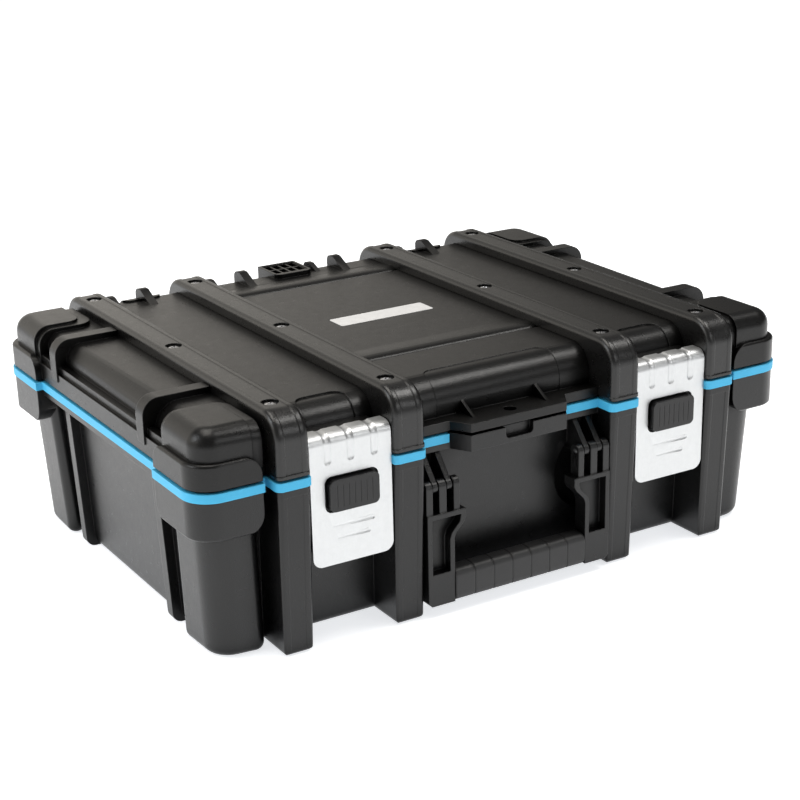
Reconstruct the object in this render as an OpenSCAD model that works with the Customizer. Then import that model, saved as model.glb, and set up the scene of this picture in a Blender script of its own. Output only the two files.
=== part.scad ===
// Hard tool case: a ribbed two-shell box with a coloured seal band, two metal lever
// latches with push buttons, a swinging carry handle and a full-length rear hinge line.
// X runs left to right, -Y is the latch side, Z is up. The origin lies on the floor under
// the middle of the case.

/* [Case] */
// Width over the flanges on the two short sides
flange_w = 540; // [510:5:580]
// Depth from the front faces of the ribs to the rear faces of the lid bars
body_d = 405; // [390:5:430]
// Height of the lid bars above the floor
case_h = 194.5; // [190:0.5:205]
// Height of the middle of the seal band
parting_z = 140; // [136:1:144]
// Wall thickness of both shells
wall_t = 3.2; // [2.6:0.2:4]
// Draft of the base walls in degrees
draft_deg = 2.4; // [2:0.2:4]

/* [Ribs and bars] */
// Width of each front-to-back rib
rib_w = 27.5; // [25:0.5:29]
// Centre of the two inner ribs from the middle of the case
inner_rib_x = 101.6; // [98:0.4:106]
// Centre of the two outer ribs from the middle of the case
outer_rib_x = 200; // [197:1:204]
// Width of each base rib at the floor
rib_foot_w = 24.5; // [22:0.5:26]
// Rounding along the long edges of ribs and bars
rib_edge_r = 4.5; // [3:0.5:6]
// Rounding where a lid bar turns down over the front and rear
bar_bend_r = 22; // [18:1:26]
// Wall thickness of the hollow bars
bar_wall = 3.4; // [2.8:0.2:4]
// Rounding at the foot of each base rib
rib_foot_r = 6; // [4:0.5:8]
// Width of the sunken middle of each rib and bar face
rib_face_w = 13; // [11:0.5:15]
// Depth of that sunken middle
rib_face_d = 0.5; // [0.3:0.1:0.7]
// Height of the small lip at the foot of each bar
bar_lip_h = 2.5; // [2:0.5:3.5]
// How far that lip stands out
bar_lip_proud = 0.8; // [0.5:0.1:1.2]
// Gap between a bar and the lid it is screwed to
bar_fit = 0.1; // [0.05:0.05:0.2]

/* [Base] */
// Depth of the base wall behind the rib faces, at the lip
base_wall_set = 34.5; // [32:0.5:37]
// Depth of the rear base wall in front of the rear bar faces, at the lip
base_rear_set = 22.5; // [21:0.5:26]
// Depth of the base side wall inside the flange, at the lip
base_side_set = 15; // [14:0.5:19]
// How far the corner columns stand out from the side walls
column_proud = 10; // [8:0.5:11]
// Depth of the corner columns behind the rib faces
column_set = 20.5; // [19:0.5:22]
// Depth of the panel behind the handle, from the rib faces
handle_wall_set = 26; // [24:0.5:30]
// Radius of the two round pockets behind the handle ends
handle_pocket_r = 37; // [34:1:40]
// Plan radius of the base corners
base_corner_r = 22; // [18:1:28]
// Rounding along the foot of the base
foot_r = 9; // [6:1:12]
// Height of the base lip under the seal band
base_lip_h = 5.5; // [4.5:0.5:7]
// Height of the base corner guards
base_guard_h = 31; // [26:1:36]
// Thickness of the floor
floor_t = 4; // [3:0.5:5]

/* [Lid] */
// Depth of the lid wall behind the rib faces
lid_wall_set = 31; // [29:0.5:33]
// Depth of the rear lid wall in front of the rear bar faces
lid_rear_set = 15; // [14.5:0.5:18]
// Depth of the lid side wall inside the side flange
lid_side_set = 9; // [8:0.5:11]
// How far the lid panel lies below the bar tops
panel_drop = 10.8; // [9.5:0.1:12]
// Rounding along the top edge of the lid
lid_edge_r = 21; // [18:1:24]
// Rounding along the rear top edge of the lid
lid_rear_edge_r = 10; // [8:1:16]
// Plan radius of the lid corners
lid_corner_r = 30; // [26:1:36]
// Height of the front and rear lid lip
lid_lip_h = 8; // [7:0.5:9]
// Height of the side lid lip
side_lip_h = 14.5; // [13:0.5:15]
// Height of the ridge on top of the side lid lip
side_ridge_h = 6; // [5:0.5:7]
// How far that ridge is set back from the lip
side_ridge_set = 2.5; // [2:0.5:3.5]
// Depth of the sunken pads over the front edge of the lid in the latch bays
pad_d = 1.2; // [0.8:0.1:1.4]
// Depth of the sunken pad over the middle of the front edge
mid_pad_d = 0.5; // [0.3:0.1:0.8]
// How far the raised pads over the rear edge stand out
rear_pad_t = 1.5; // [1:0.1:2]
// Height of the lid corner guards
guard_h = 20; // [18:1:22]
// How far the corner domes and side lugs stay below the bar tops
dome_drop = 5.5; // [3:0.5:7]
// Rounding along the top edge of the domes and lugs
dome_edge_r = 14; // [10:1:20]
// Plan radius of the inner corner of each dome
dome_inner_r = 12; // [8:1:16]
// How far the lower part of each dome lies under its upper part
dome_step = 2; // [1.5:0.5:3]
// Width of each side lug
lug_w = 13; // [10:0.5:15]
// Distance of the front side lugs from the front rib faces, and of the rear ones from the rear
lug_run = 106; // [98:1:110]
// Thickness of each tall rear fin
fin_t = 8; // [6:0.5:10]
// Thickness of each small rear fin
small_fin_t = 5; // [4:0.5:6]

/* [Flange and seal] */
// Depth of the front flange behind the rib faces
flange_set = 19; // [17:0.5:21]
// Depth of the rear flange in front of the rear bar faces
rear_flange_set = 13.5; // [13:0.5:16]
// How far the corner guards stand out past the side flanges
guard_proud = 6; // [4:0.5:7]
// Depth of the corner guards behind the rib faces
guard_set = 8; // [6:0.5:10]
// Gap between an outer rib and the guard beside it
guard_gap = 8; // [6:0.5:10]
// Length of the corner guards along the sides, from the front rib faces
guard_run = 80; // [72:1:86]
// Plan radius of the corner guards
guard_r = 22; // [18:1:28]
// Rounding at the ends of the corner guards
guard_end_r = 15; // [12:1:17]
// Rounding along the free edges of the corner guards
guard_edge_r = 3; // [2:0.5:4]
// Height of the seal band
band_h = 7; // [6:0.5:8]
// How far the band stands out past the lips
band_proud = 1.2; // [0.8:0.1:1.5]
// Gap between the band and the closed lid
seal_gap = 0.3; // [0.2:0.1:0.6]
// How far the lid rim under the lip is set back
rim_set = 3; // [2:0.5:4]
// Height of the lid rim under the lip
rim_h = 1.7; // [1.2:0.1:2.2]
// Width of the seating face that carries the band
band_seat = 12; // [10:0.5:14]

/* [Hinge] */
// Distance of the hinge axis inside the rear faces of the lid bars
hinge_in = 5.3; // [5:0.1:6]
// Outer radius of the hinge knuckles
knuckle_r = 6.5; // [6:0.1:7]
// Diameter of the two hinge pins
hinge_pin_d = 5; // [4:0.5:6]
// Length of each hinge along the rear edge
hinge_w = 62; // [50:1:66]
// Gap between neighbouring knuckles
knuckle_gap = 0.4; // [0.3:0.1:0.8]
// Radial clearance of every pin in its bore
pin_fit = 0.05; // [0.03:0.01:0.08]

/* [Handle] */
// Gap between the handle and the ribs beside it
handle_gap = 0.6; // [0.4:0.1:1]
// Height of the handle pivot above the floor
handle_pivot_z = 108; // [104:1:112]
// Reach of the handle below its pivot
handle_drop = 98; // [92:1:101]
// Depth of the handle arms, front to rear
arm_d = 14; // [12:0.5:16]
// Radius of the rounded prong tops
prong_r = 5.5; // [5:0.1:6]
// Diameter of the handle pins
handle_pin_d = 4; // [3:0.5:5]
// Width between the arms at the grip
grip_w = 126; // [116:1:132]
// Height of the grip
grip_h = 27; // [24:1:29]
// Thickness of the grip, front to rear
grip_t = 18; // [16:0.5:18]
// Number of segments along the grip
grip_parts = 8; // [6:1:10]
// Width of the grooves between grip segments
groove_w = 1.6; // [1:0.2:2.4]
// Depth of the grooves between grip segments
groove_d = 1.2; // [0.8:0.1:1.8]

/* [Latches] */
// Gap between a latch plate and the ribs beside it
latch_gap = 0.7; // [0.5:0.1:1]
// Thickness of the latch plates
plate_t = 1.8; // [1.4:0.1:2.2]
// Depth of the latch plates behind the rib faces
plate_set = 4; // [3.5:0.1:4.5]
// Height of the lower edge of the latch plates
plate_z0 = 67; // [64:1:70]
// Height of the curled top of the latch plates above the seal band
curl_rise = 27; // [26:0.5:28]
// Outer radius of the curl
curl_r = 8; // [7:0.5:9]
// Reach of the curled lip, front to rear
curl_reach = 15.5; // [14.5:0.5:16]
// Width of the grooves pressed into the latch plates
press_w = 7; // [6:0.5:8]
// Depth of the grooves pressed into the latch plates
press_d = 1; // [0.8:0.1:1.1]
// Height of the latch pivots above the lower edge of the plates
latch_pivot_up = 10; // [9:0.5:12]
// Diameter of the latch pins
latch_pin_d = 4; // [3:0.5:5]
// Gap between the curled lip and the lid keeper under it
keeper_fit = 0.3; // [0.2:0.05:0.5]
// Width of the push buttons
button_w = 42; // [38:0.5:43]
// Height of the push buttons
button_h = 25; // [22:0.5:26]
// Travel of the push buttons
button_travel = 2.5; // [2:0.1:3]
// Gap around the buttons in the plate window
window_gap = 2; // [1.5:0.1:2.5]

/* [Lock tab and label] */
// Diameter of the padlock hole
lock_d = 10.5; // [8:0.5:11]
// Depth of the padlock hole behind the rib faces
lock_set = 16.5; // [15:0.5:18]
// Width of the lock tab at its front edge
tab_w = 86; // [76:1:92]
// Depth of the front edge of the lock tab behind the rib faces
tab_set = 3; // [2:0.5:4]
// Width of the label plate
label_w = 92; // [80:1:100]
// Depth of the label plate, front to rear
label_d = 23; // [20:0.5:26]

/* [Hidden] */

black = [0.13, 0.13, 0.14];
soft_black = [0.09, 0.09, 0.10];
sky_blue = [0.33, 0.70, 0.88];
bare_alu = [0.86, 0.87, 0.88];
steel = [0.62, 0.63, 0.66];

// Shared outline of the case
front_y = -body_d / 2;
flange_y = body_d / 2 - flange_set;
flange_rear_y = body_d / 2 - rear_flange_set;
flange_front_y = -flange_y;
hinge_y = body_d / 2 - hinge_in;
rear_rib_y = hinge_y - 0.5;
guard_w = flange_w + 2 * guard_proud;
guard_y = body_d / 2 - guard_set;
flange_r = 20;
guard_x = outer_rib_x + rib_w / 2 + guard_gap;
guard_side_y = body_d / 2 - guard_run;
rib_xs = [-outer_rib_x, -inner_rib_x, inner_rib_x, outer_rib_x];

// Levels at the parting line
band_z0 = parting_z - band_h / 2;
band_z1 = parting_z + band_h / 2;
lip_z0 = band_z0 - base_lip_h;
rim_z0 = band_z1 + seal_gap;
lid_lip_z = rim_z0 + rim_h;
lid_top_z = case_h - panel_drop;
dome_top_z = case_h - dome_drop;

// Half sizes of the walls, at the lip for the base
lid_hx = flange_w / 2 - lid_side_set;
lid_front_y = front_y + lid_wall_set;
lid_rear_y = body_d / 2 - lid_rear_set;
base_hx = flange_w / 2 - base_side_set;
base_front_y = front_y + base_wall_set;
base_rear_y = body_d / 2 - base_rear_set;
column_x = base_hx + column_proud;
column_y = body_d / 2 - column_set;
draft_in = lip_z0 * tan(draft_deg);

hull_fn = 40;
round_fn = 64;
eps = 0.01;
far = 1000;

// Latch bays lie between each outer rib and the inner rib beside it
bay_x = (outer_rib_x + inner_rib_x) / 2;
bay_w = outer_rib_x - inner_rib_x - rib_w;
latch_w = bay_w - 2 * latch_gap;
plate_y = front_y + plate_set;
plate_top_z = parting_z + curl_rise + band_h / 2;
latch_pivot_y = plate_y + 7.5;
latch_pivot_z = plate_z0 + latch_pivot_up;
button_z = 123.5;
window_w = button_w + 2 * window_gap;
window_h = button_h + 2 * window_gap;
keeper_top_z = plate_top_z - plate_t - keeper_fit;

// Handle
handle_hw = inner_rib_x - rib_w / 2 - handle_gap;
handle_y = front_y + 0.5;
pivot_y = handle_y + prong_r + 1.5;
handle_z0 = handle_pivot_z - handle_drop;
grip_y = handle_y + arm_d / 2 + 0.8;
grip_z = handle_z0 + grip_h / 2;

// Bar screws
screw_end_in = 34;
screw_end_y = body_d / 2 - screw_end_in;
screw_ys = [-screw_end_y, 0, screw_end_y];
screw_d = 4;
screw_head_d = 8.4;
screw_len = 28;
recess_d = 13.6;
recess_h = 3;
boss_d = 9;
boss_z0 = case_h - recess_h - screw_len - 2;
boss_h = 8;

// Places of lid details
panel_grooves = [-101, 126];
groove_run = 3.6;
groove_drop = 1.8;
label_y = 8;
label_sink = 0.8;
fin_xs = [-149, -49.5, 49.5, 149];
small_fin_xs = [-178, -80, 25, 123];
// Sunken pads over the front edge: middle, width and depth
front_pads = [[-bay_x, 41.5, pad_d], [0, 117, mid_pad_d], [bay_x, 41.5, pad_d]];
front_pad_y = -146;
front_pad_r = 10.5;
rear_pad_w = 36;
rear_pad_y = 174;

// Handle pins, and the prongs and struts they run through
handle_pin_x = handle_hw - 15.5;
handle_pin_len = 29;
strut_t = 4.6;
strut_sets = [8.9, 21.7];
strut_xs = [for (set = strut_sets) set - handle_hw];
prong_drop = 22;

// Core of the grip, and the stepped pocket of an arm: drops and reaches of its corners
core_d = 8;
core_in = 10;
pocket_drops = [19, 14, 10, 6];
pocket_reaches = [1.5, 5, 9, 10.5];
prongs = [[0, 6], [11.8, 6.6], [25, 5.4]];

// Latch pins and the lugs that hold them
lug_t = 6;
lug_x = 22;
latch_pin_len = 2 * lug_x + lug_t;

// Padlock tab: half widths at its front edge and at the lip, and its top
tab_half = 45;
tab_foot_half = 55;
tab_top_z = parting_z + 4;

// Base ribs, buttons and grip
rib_depth = 46;
button_proud = 5;
button_flange_t = 1.5;
button_play = 0.3;
carrier_back = 5;
carrier_t = button_travel + carrier_back;
barrel_r = 5;
barrel_web = 10;
barrel_gap = 1;
carrier_side_gap = 6;
carrier_foot = 8;
carrier_over = 7;
pocket_extra = 4;
carrier_skin = 1.5;
grip_end_gap = 0.4;

// Front view of the handle arms
arm_fork_in = 21;
arm_step_z = 24;
pocket_step_z = 25;
handle_bore_len = 40;

// Lengths of the pressed grooves under the button, with their heights
press_bars = [[98, 34], [88, 26]];
press_run = 12;

// ---------- helpers ----------

// Rectangle with true round corners, centred
module round_rect(w, d, r) {
    square([w - 2 * r, d], center = true);
    square([w, d - 2 * r], center = true);
    for (sx = [-1, 1], sy = [-1, 1])
        translate([sx * (w / 2 - r), sy * (d / 2 - r)]) circle(r, $fn = round_fn);
}

// Extrudes a drawing of Y against Z along X, centred on x = 0
module along_x(w) {
    rotate([90, 0, 90]) translate([0, 0, -w / 2]) linear_extrude(w) children();
}

// Extrudes a drawing of X against Z along Y, from y0 to y1
module along_y(y0, y1) {
    translate([0, y1, 0]) rotate([90, 0, 0]) linear_extrude(y1 - y0) children();
}

// Places children at left and right, mirrored
module both_sides() {
    children();
    mirror([1, 0, 0]) children();
}

// Places children at front and rear, mirrored
module both_ends() {
    children();
    mirror([0, 1, 0]) children();
}

// A pin with small chamfers at its ends, lying along X
module pin(d, len) {
    chamfer = d / 10;
    rotate([0, 90, 0]) {
        cylinder(d = d, h = len - 2 * chamfer, center = true, $fn = round_fn);
        for (s = [0, 1]) mirror([0, 0, s]) translate([0, 0, len / 2 - chamfer])
            cylinder(d1 = d, d2 = d - 2 * chamfer, h = chamfer, $fn = round_fn);
    }
}

// A bore along X
module x_bore(d, len) {
    rotate([0, 90, 0]) cylinder(d = d, h = len, center = true, $fn = round_fn);
}

// ---------- shared forms ----------

// Front half of the plan outline of ribs: a rib end with rounded corners
module rib_end(x, y_face, grow) {
    r = rib_edge_r + grow;
    w = rib_w + 2 * grow;
    y0 = y_face - grow;
    translate([x - w / 2, y0 + r]) square([w, abs(y_face) - flange_y + 10 - r]);
    translate([x - w / 2 + r, y0]) square([w - 2 * r, 2 * r]);
    for (s = [-1, 1]) translate([x + s * (w / 2 - r), y0 + r]) circle(r, $fn = round_fn);
}

// Plan of the flange, grown by a gap
module flange_plan(grow) {
    translate([0, (flange_rear_y - flange_y) / 2])
        round_rect(flange_w + 2 * grow, flange_y + flange_rear_y + 2 * grow, flange_r + grow);
}

// Outline of lip, band and rim: flange, corner guards and rib ends
module plan_outline(grow) {
    flange_plan(grow);
    intersection() {
        round_rect(guard_w + 2 * grow, 2 * guard_y + 2 * grow, guard_r + grow);
        for (sx = [-1, 1], sy = [-1, 1]) mirror([sx < 0 ? 1 : 0, 0]) mirror([0, sy < 0 ? 1 : 0])
            translate([guard_x - grow, guard_side_y - grow]) square([far, far]);
    }
    for (x = rib_xs) {
        rib_end(x, front_y, grow);
        mirror([0, 1]) rib_end(x, -rear_rib_y, grow);
    }
}

// One quarter of the corner guards, in plan
module guard_plan() {
    intersection() {
        round_rect(guard_w, 2 * guard_y, guard_r);
        translate([guard_x, guard_side_y]) square([far, far]);
    }
}

// Drawing that rounds one end of a guard: open from start outwards, rounded at its free edge
module guard_end(start, z_free, z_closed, r) {
    up = z_free > z_closed ? 1 : -1;
    translate([start + r, min(z_free, z_closed)]) square([far, abs(z_free - z_closed)]);
    translate([start, min(z_free - up * r, z_closed)]) square([r + eps, abs(z_free - z_closed) - r]);
    translate([start + r, z_free - up * r]) circle(r, $fn = round_fn);
}

// A corner guard block between two levels, rounded at its two ends
module guard_block(z_free, z_closed) {
    intersection() {
        translate([0, 0, min(z_free, z_closed)]) linear_extrude(abs(z_free - z_closed)) guard_plan();
        along_y(0, far) guard_end(guard_x, z_free, z_closed, guard_end_r);
        translate([far / 2, 0, 0]) along_x(far) guard_end(guard_side_y, z_free, z_closed, guard_end_r);
    }
}

// Body all round that rounds the free edges of the guards, from z_closed to z_free
module guard_envelope(z_closed, z_free) {
    up = z_free > z_closed ? 0 : 1;
    translate([0, 0, z_free]) mirror([0, 0, up]) translate([0, 0, -abs(z_free - z_closed)])
        domed_box(guard_w / 2 + 0.1, -guard_y - 0.1, guard_y + 0.1, guard_r + 0.1, 0,
                  abs(z_free - z_closed), guard_edge_r, guard_edge_r);
}

// Quarter profile of a corner post with its lower edge rounded
module foot_profile(r, edge, h) {
    steps = 8;
    polygon(concat([[0, 0]],
        [for (i = [0 : steps]) [r - edge + edge * sin(i * 90 / steps), edge - edge * cos(i * 90 / steps)]],
        [[r, h], [0, h]]));
}

// Box with drafted walls, rounded plan corners and a rounded foot, from z0 up to z1
module drafted_box(hx, y_front, y_rear, r, z0, z1, edge) {
    lean = (z1 - z0) * tan(draft_deg);
    hull() for (sx = [-1, 1], sy = [-1, 1]) {
        y = sy < 0 ? y_front + r : y_rear - r;
        translate([sx * (hx - lean - r), y - sy * lean, z0])
            rotate_extrude($fn = hull_fn) foot_profile(r, edge, edge + 1);
        translate([sx * (hx - r), y, z1 - 1]) cylinder(r = r, h = 1, $fn = hull_fn);
    }
}

// Box with rounded plan corners and rounded front and rear top edges, from z0 up to z1
module domed_box(hx, y_front, y_rear, r, z0, z1, edge_front, edge_rear) {
    hull() for (sx = [-1, 1], s = [0, 1])
        translate([sx * (hx - r), s == 0 ? y_front + r : y_rear - r, z1]) mirror([0, 0, 1])
            rotate_extrude($fn = hull_fn) foot_profile(r, s == 0 ? edge_front : edge_rear, z1 - z0);
}

// ---------- base ----------

// Corner column: a rounded post that stands out from both walls
module column() {
    nose = 8;
    hull() for (p = [[column_x - base_corner_r, column_y - base_corner_r, base_corner_r],
                     [guard_x + nose, column_y - nose, nose],
                     [column_x - nose, guard_side_y + nose, nose]]) {
        translate([p[0] - draft_in, p[1] - draft_in, 0])
            rotate_extrude($fn = hull_fn) foot_profile(p[2], min(foot_r, p[2] - 1), foot_r + 1);
        translate([p[0], p[1], lip_z0 - 1]) cylinder(r = p[2], h = 1 + eps, $fn = hull_fn);
    }
}

// Side view of a base rib: leaning front face, rounded foot
module rib_side(y_face) {
    lean = band_z0 * tan(draft_deg);
    polygon([[y_face + lean + rib_foot_r, 0], [y_face + lean, rib_foot_r], [y_face, band_z0 - eps],
             [y_face + rib_depth, band_z0 - eps], [y_face + rib_depth, 0]]);
    translate([y_face + lean + rib_foot_r, rib_foot_r]) circle(rib_foot_r, $fn = round_fn);
}

// Front view of a base rib: narrower towards the floor, rounded foot
module rib_front_view() {
    a = rib_w / 2;
    b = rib_foot_w / 2;
    polygon([[-a, band_z0 - eps], [-b, rib_foot_r], [-b + rib_foot_r, 0], [b - rib_foot_r, 0],
             [b, rib_foot_r], [a, band_z0 - eps]]);
    for (s = [-1, 1]) translate([s * (b - rib_foot_r), rib_foot_r]) circle(rib_foot_r, $fn = round_fn);
}

// A base rib, leaning with the draft, with rounded long edges
module base_rib(y_face) {
    intersection() {
        along_x(rib_w + 2) rib_side(y_face);
        along_y(y_face - 1, y_face + rib_depth + 1) rib_front_view();
        translate([0, y_face, band_z0]) rotate([draft_deg, 0, 0])
            translate([0, 0, -band_z0 - 10]) linear_extrude(band_z0 + 20) rib_section(2 * rib_depth);
    }
}

// Cross section of a rib or bar: outer face on y = 0, two rounded corners, sunken middle
module rib_section(depth) {
    r = rib_edge_r;
    a = rib_face_w / 2;
    difference() {
        union() {
            translate([-rib_w / 2, r]) square([rib_w, depth - r]);
            translate([-rib_w / 2 + r, 0]) square([rib_w - 2 * r, 2 * r]);
            for (s = [-1, 1]) translate([s * (rib_w / 2 - r), r]) circle(r, $fn = round_fn);
        }
        polygon([[-a - 2 * rib_face_d, -rib_face_d], [a + 2 * rib_face_d, -rib_face_d],
                 [a, rib_face_d], [-a, rib_face_d]]);
    }
}

// Slim upright ribs on the short sides of the base
module side_rib(y) {
    rib_t = 10;
    foot = 8;
    x1 = column_x - 2;
    x2 = x1 - draft_in;
    translate([0, y, 0]) along_y(0, rib_t) union() {
        polygon([[base_hx - 20, 0], [x2 - foot, 0], [x2, foot], [x1, lip_z0 + eps],
                 [base_hx - 20, lip_z0 + eps]]);
        translate([x2 - foot, foot]) circle(foot, $fn = round_fn);
    }
}

// Plan of the padlock tab, flared towards the lip
module tab_plan(back) {
    y0 = front_y + tab_set;
    y1 = front_y + flange_set + 0.5;
    polygon([[-tab_half, y0], [tab_half, y0], [tab_foot_half, y1], [tab_foot_half, back],
             [-tab_foot_half, back], [-tab_foot_half, y1]]);
}

// Notch in the front of the padlock tab, open at the top, with rounded lower corners
module tab_notch(half, depth, z) {
    r = 4;
    y0 = front_y + tab_set;
    along_y(y0 - 1, y0 + depth) translate([0, z]) union() {
        translate([-half, r]) square([2 * half, far]);
        translate([r - half, 0]) square([2 * (half - r), 2 * r]);
        for (s = [-1, 1]) translate([s * (half - r), r]) circle(r, $fn = round_fn);
    }
}

// Lower half of the padlock tab, notched in the middle
module base_lock_tab() {
    difference() {
        union() {
            translate([0, 0, lip_z0]) linear_extrude(tab_top_z - lip_z0) tab_plan(flange_front_y + 2);
            translate([0, 0, lip_z0]) linear_extrude(base_lip_h) tab_plan(flange_front_y + 6);
        }
        tab_notch(13, 5, lip_z0 + 4);
    }
}

// Front panel between the two inner ribs, cut by the round pockets behind the handle ends
module handle_wall() {
    half_w = inner_rib_x - rib_w / 2 + 1;
    pocket_z = 82;
    y0 = front_y + handle_wall_set;
    y1 = base_front_y + 10;
    intersection() {
        along_x(2 * half_w) polygon([[y0, lip_z0 + eps], [y0 + draft_in, foot_r], [y0 + draft_in + foot_r, 0],
                                     [y1, 0], [y1, lip_z0 + eps]]);
        along_y(y0 - 1, y1 + 1) difference() {
            translate([-half_w, 0]) square([2 * half_w, lip_z0 + 1]);
            for (s = [-1, 1]) translate([s * half_w, pocket_z]) circle(handle_pocket_r, $fn = 2 * round_fn);
        }
    }
}

// Two slanted struts that carry one end of the handle
module handle_struts() {
    back = base_front_y + 8;
    for (x = strut_xs) translate([x, 0, 0]) along_x(strut_t) union() {
        translate([pivot_y, handle_pivot_z]) circle(prong_r - 0.7, $fn = round_fn);
        polygon([[pivot_y - 4, handle_pivot_z + 2.2], [pivot_y + 2, handle_pivot_z - 4.4],
                 [back, handle_pivot_z - 4.4], [back, lip_z0 + eps],
                 [front_y + flange_set + 2, lip_z0 + eps]]);
    }
}
// Two lugs that carry one latch pin
module latch_lugs() {
    for (s = [-1, 1]) translate([-bay_x + s * lug_x, 0, 0]) along_x(lug_t) union() {
        translate([latch_pivot_y, latch_pivot_z]) circle(5, $fn = round_fn);
        polygon([[latch_pivot_y, latch_pivot_z - 5], [latch_pivot_y, latch_pivot_z + 5],
                 [base_front_y + 8, latch_pivot_z + 12], [base_front_y + 8, latch_pivot_z - 14],
                 [latch_pivot_y + 12, latch_pivot_z - 5]]);
    }
}
// One row of hinge knuckles with webs to a flange; first and step pick every second knuckle
module knuckles(first, count, up) {
    total = 5;
    w = (hinge_w - (total - 1) * knuckle_gap) / total;
    for (i = [0 : count - 1]) translate([-hinge_w / 2 + w / 2 + (first + 2 * i) * (w + knuckle_gap), 0, 0])
        along_x(w) union() {
            translate([hinge_y, parting_z]) circle(knuckle_r, $fn = round_fn);
            if (up) polygon([[hinge_y - knuckle_r, lid_lip_z], [hinge_y + 2, parting_z + 5],
                             [lid_rear_y - 2, lid_lip_z + 18], [lid_rear_y - 2, lid_lip_z]]);
            else polygon([[hinge_y - knuckle_r, band_z0], [hinge_y + 2, parting_z - 5.5],
                          [base_rear_y - 2, lip_z0 - 14], [base_rear_y - 2, band_z0]]);
        }
}

module base_shell() {
    color(black) difference() {
        union() {
            drafted_box(base_hx, base_front_y, base_rear_y, base_corner_r, 0, lip_z0 + 1, foot_r);
            handle_wall();
            translate([0, 0, lip_z0]) linear_extrude(base_lip_h) plan_outline(0);
            both_sides() both_ends() column();
            intersection() {
                both_sides() both_ends() guard_block(band_z0 - base_guard_h, lip_z0 + eps);
                guard_envelope(lip_z0 + eps, band_z0 - base_guard_h);
            }
            for (x = rib_xs) translate([x, 0, 0]) {
                base_rib(front_y);
                mirror([0, 1, 0]) base_rib(-rear_rib_y);
            }
            both_sides() both_ends() side_rib(-body_d / 2 + lug_run + 2);
            base_lock_tab();
            both_sides() handle_struts();
            both_sides() latch_lugs();
            both_sides() translate([bay_x, 0, 0]) knuckles(0, 3, false);
        }
        drafted_box(base_hx - wall_t, base_front_y + wall_t, base_rear_y - wall_t, base_corner_r - wall_t,
                    floor_t, band_z0 + 1, 6);
        translate([0, front_y + lock_set, lip_z0 - 1]) cylinder(d = lock_d, h = far, $fn = round_fn);
        both_sides() {
            translate([bay_x, hinge_y, parting_z]) x_bore(hinge_pin_d, far / 5);
            translate([bay_x, latch_pivot_y, latch_pivot_z]) x_bore(latch_pin_d, latch_pin_len);
            translate([handle_pin_x, pivot_y, handle_pivot_z]) x_bore(handle_pin_d, handle_pin_len);
        }
    }
}

// Coloured seal band that follows the lip all round
module seal_band() {
    color(sky_blue) translate([0, 0, band_z0]) linear_extrude(band_h) difference() {
        plan_outline(band_proud);
        flange_plan(-band_seat);
        translate([-tab_foot_half - seal_gap, front_y - 10])
            square([2 * (tab_foot_half + seal_gap), flange_set + 14]);
        for (s = [-1, 1]) translate([s * bay_x - latch_w / 2 - seal_gap, front_y - 10])
            square([latch_w + 2 * seal_gap, plate_set + plate_t + 11]);
    }
}

// ---------- lid ----------

// Side profile of the lid, grown by a gap, open at the bottom
module lid_profile(grow) {
    rf = lid_edge_r + grow;
    rr = lid_rear_edge_r + grow;
    y0 = lid_front_y - grow;
    y1 = lid_rear_y + grow;
    top = lid_top_z + grow;
    translate([y0, 0]) square([y1 - y0, top - rf]);
    translate([y0 + rf, 0]) square([y1 - y0 - rf, top - rr]);
    translate([y0 + rf, 0]) square([y1 - y0 - rf - rr, top]);
    translate([y0 + rf, top - rf]) circle(rf, $fn = round_fn);
    translate([y1 - rr, top - rr]) circle(rr, $fn = round_fn);
}

// Plan of one upper or lower dome, with its inner corner rounded
module dome_quarter(x, y, r) {
    translate([x + r, y]) square([far, far]);
    translate([x, y + r]) square([far, far]);
    translate([x + r, y + r]) circle(r, $fn = round_fn);
}

// Where the upper parts of the domes and the side lugs stand, in plan
module dome_plan() {
    for (sx = [0, 1], sy = [0, 1]) mirror([sx, 0]) mirror([0, sy]) {
        dome_quarter(guard_x + 5, guard_side_y + 10, dome_inner_r);
        translate([outer_rib_x + rib_w / 2 + 0.6, body_d / 2 - lug_run - lug_w]) square([far, lug_w]);
    }
}

// Where the lower parts of the domes stand, in plan
module dome_foot_plan() {
    for (sx = [0, 1], sy = [0, 1]) mirror([sx, 0]) mirror([0, sy])
        dome_quarter(guard_x - 4, guard_side_y + 3, dome_inner_r + 2);
}

// Rounded body that the domes and lugs are cut from, set back by a step
module dome_body(set) {
    domed_box(guard_w / 2 - 5 - set, 4 - guard_y + set, guard_y - 4 - set, dome_edge_r + 4,
              lid_lip_z + 8, dome_top_z - set, dome_edge_r, dome_edge_r);
}

// Plan of one sunken pad over the front edge of the lid
module front_pad_plan(w) {
    r = front_pad_r;
    translate([-w / 2, front_y]) square([w, front_pad_y - r - front_y]);
    translate([-w / 2 + r, front_y]) square([w - 2 * r, front_pad_y - front_y]);
    for (s = [-1, 1]) translate([s * (w / 2 - r), front_pad_y - r]) circle(r, $fn = round_fn);
}

// Body of the lid with its sunken front pads and raised rear pads
module lid_body() {
    difference() {
        domed_box(lid_hx, lid_front_y, lid_rear_y, lid_corner_r, rim_z0, lid_top_z, lid_edge_r,
                  lid_rear_edge_r);
        for (p = front_pads) translate([p[0], 0, 0]) difference() {
            translate([0, 0, lid_lip_z + lid_lip_h]) linear_extrude(far) front_pad_plan(p[1]);
            along_x(p[1] + 2) lid_profile(-p[2]);
        }
    }
    for (s = [-1, 1]) translate([s * bay_x, 0, 0]) intersection() {
        along_x(rear_pad_w) lid_profile(rear_pad_t);
        translate([0, rear_pad_y + 10, lid_lip_z]) linear_extrude(far) round_rect(rear_pad_w, 20, 6);
    }
}

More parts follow.
